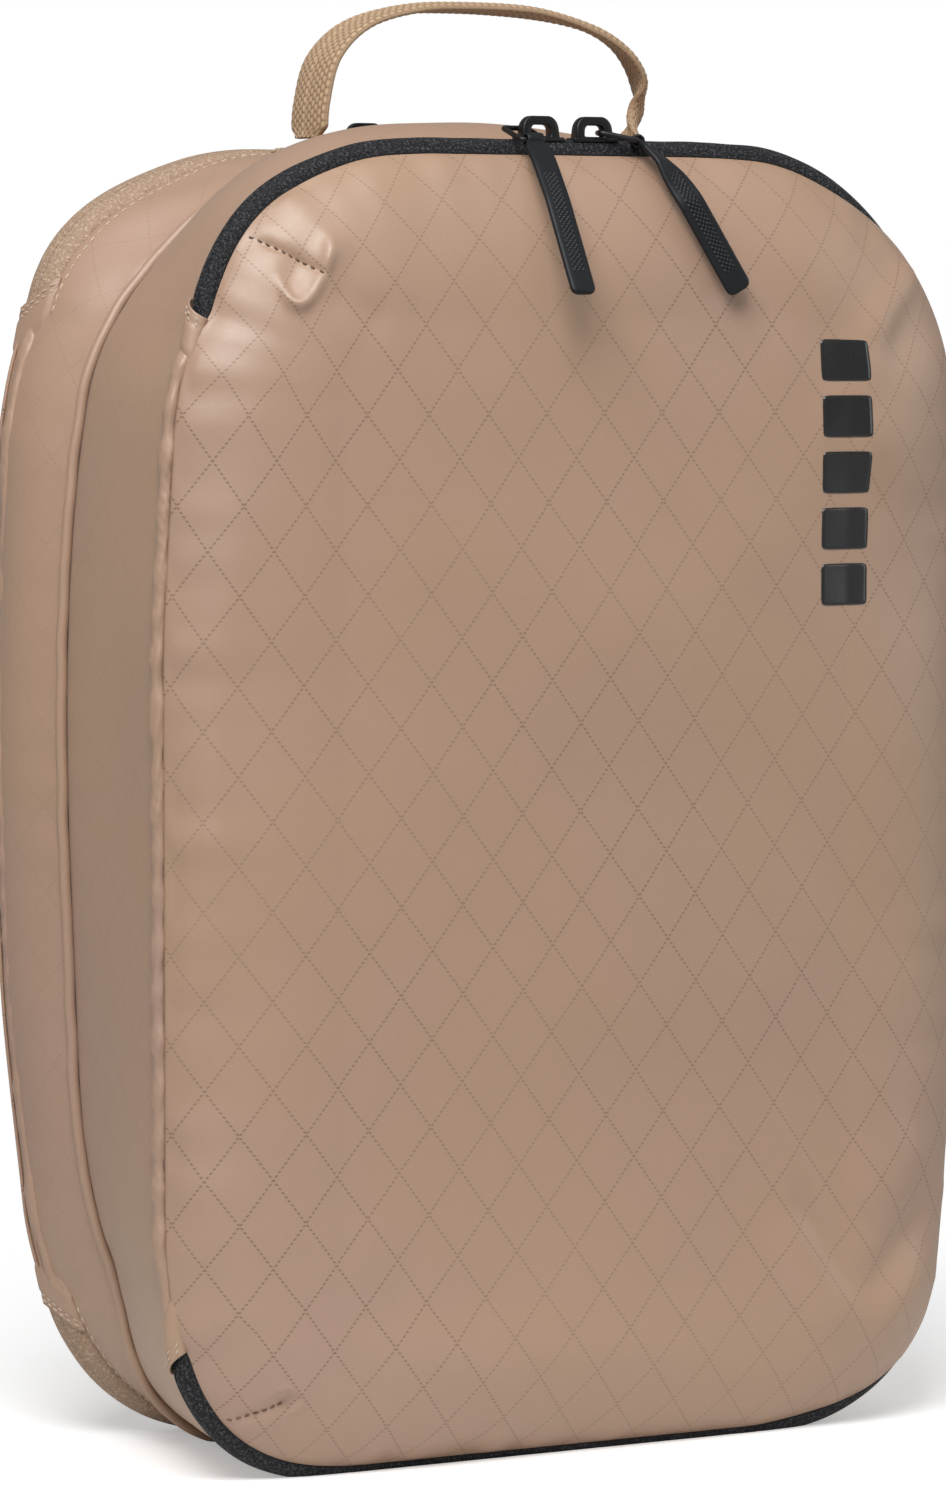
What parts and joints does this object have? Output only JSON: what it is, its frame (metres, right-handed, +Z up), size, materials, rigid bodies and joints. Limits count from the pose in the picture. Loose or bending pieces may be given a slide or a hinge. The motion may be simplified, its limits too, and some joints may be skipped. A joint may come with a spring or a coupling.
{
  "type": "packing cube",
  "caption": "Upright soft packing cube with two zipped compartments, a webbing carry handle on top, side-hinged front lid and back flap, and zip sliders with rubber pull straps.",
  "frame": {"origin": "on the resting face, half way across the width, 12 mm in front of the middle seam", "axes": "+Z up along the height, +X to the right as seen from the front, -Y towards the front lid"},
  "size_m": [0.2544, 0.1375, 0.3999],
  "materials": {
    "shell_fabric": "satin nylon ripstop with a fine dotted diamond pattern",
    "lining_fabric": "plain thin nylon lining and binding tape",
    "webbing": "tan woven polyester webbing",
    "black_zip": "black reverse coil zip tape with a knitted face",
    "beige_zip": "beige reverse coil zip tape with a knitted face",
    "slider_metal": "black painted die-cast metal, satin",
    "pull_rubber": "matte black moulded rubber-like pull strap"
  },
  "bodies": {
    "case": {"front_gusset": "shell_fabric", "rear_gusset": "shell_fabric", "divider_panel": "lining_fabric", "mid_seam_piping": "shell_fabric", "front_seam_binding": "lining_fabric", "mid_seam_binding": "lining_fabric", "rear_seam_binding": "lining_fabric", "front_hinge_piping": "shell_fabric", "rear_hinge_piping": "shell_fabric", "front_zip_case_tape": "black_zip", "front_zip_case_coil": "black_zip", "rear_zip_case_tape": "beige_zip", "rear_zip_case_coil": "beige_zip", "handle_anchor_tabs": "webbing"},
    "front_lid": {"front_panel": "shell_fabric", "front_panel_hem": "shell_fabric", "front_panel_binding": "lining_fabric", "front_zip_lid_tape": "black_zip", "front_zip_lid_coil": "black_zip"},
    "back_flap": {"back_panel": "shell_fabric", "back_panel_hem": "shell_fabric", "back_panel_binding": "lining_fabric", "rear_zip_flap_tape": "beige_zip", "rear_zip_flap_coil": "beige_zip"},
    "handle": {"handle_webbing": "webbing"},
    "left_slider": {"left_slider": "slider_metal"},
    "left_ring": {"left_pull_ring": "slider_metal"},
    "left_strap": {"left_pull_strap": "pull_rubber"},
    "right_slider": {"right_slider": "slider_metal"},
    "right_ring": {"right_pull_ring": "slider_metal"},
    "right_strap": {"right_pull_strap": "pull_rubber"},
    "back_left_slider": {"back_left_slider": "slider_metal"},
    "back_left_ring": {"back_left_ring": "slider_metal"},
    "back_left_strap": {"back_left_strap": "pull_rubber"},
    "back_right_slider": {"back_right_slider": "slider_metal"},
    "back_right_ring": {"back_right_ring": "slider_metal"},
    "back_right_strap": {"back_right_strap": "pull_rubber"}
  },
  "joints": [
    {"name": "front_lid_hinge", "type": "hinge", "parent": "case", "child": "front_lid", "pos_m": [-0.1256, -0.041, 0.18], "axis": [0, 0, -1], "range_deg": [0, 180]},
    {"name": "back_flap_hinge", "type": "hinge", "parent": "case", "child": "back_flap", "pos_m": [-0.1256, 0.0365, 0.18], "axis": [0, 0, 1], "range_deg": [0, 180]},
    {"name": "handle_tilt", "type": "hinge", "parent": "case", "child": "handle", "pos_m": [0, 0.012, 0.3638], "axis": [1, 0, 0], "range_deg": [-45, 45], "stiffness_Nm_per_rad": 0.02},
    {"name": "left_slider_run", "type": "slide", "parent": "front_lid", "child": "left_slider", "axis": [-1, 0, 0], "range_m": [0, 0.04]},
    {"name": "right_slider_run", "type": "slide", "parent": "front_lid", "child": "right_slider", "axis": [1, 0, 0], "range_m": [0, 0.04]},
    {"name": "back_left_slider_run", "type": "slide", "parent": "back_flap", "child": "back_left_slider", "axis": [-1, 0, 0], "range_m": [0, 0.028]},
    {"name": "back_right_slider_run", "type": "slide", "parent": "back_flap", "child": "back_right_slider", "axis": [1, 0, 0], "range_m": [0, 0.05]},
    {"name": "left_ring_tilt", "type": "hinge", "parent": "left_slider", "child": "left_ring", "pos_m": [-0.01435, -0.041, 0.3646], "axis": [-1, 0, 0], "range_deg": [0, 53]},
    {"name": "left_strap_swing", "type": "hinge", "parent": "left_ring", "child": "left_strap", "pos_m": [-0.01435, -0.04842, 0.36219], "axis": [-1, 0, 0], "range_deg": [0, 90]},
    {"name": "back_left_ring_tilt", "type": "hinge", "parent": "back_left_slider", "child": "back_left_ring", "pos_m": [-0.02635, 0.0365, 0.3646], "axis": [1, 0, 0], "range_deg": [0, 53]},
    {"name": "back_left_strap_swing", "type": "hinge", "parent": "back_left_ring", "child": "back_left_strap", "pos_m": [-0.02635, 0.04392, 0.36219], "axis": [1, 0, 0], "range_deg": [0, 100]},
    {"name": "back_right_ring_tilt", "type": "hinge", "parent": "back_right_slider", "child": "back_right_ring", "pos_m": [-0.00935, 0.0365, 0.3646], "axis": [1, 0, 0], "range_deg": [0, 53]},
    {"name": "back_right_strap_swing", "type": "hinge", "parent": "back_right_ring", "child": "back_right_strap", "pos_m": [-0.00935, 0.04392, 0.36219], "axis": [1, 0, 0], "range_deg": [0, 100]},
    {"name": "right_ring_tilt", "type": "hinge", "parent": "right_slider", "child": "right_ring", "pos_m": [0.0106, -0.041, 0.3646], "axis": [-0.4226, -0.9063, 0], "range_deg": [0, 75]},
    {"name": "right_strap_swing", "type": "hinge", "parent": "right_ring", "child": "right_strap", "pos_m": [0.02035, -0.04555, 0.36231], "axis": [-0.4226, -0.9063, 0], "range_deg": [0, 90]}
  ]
}
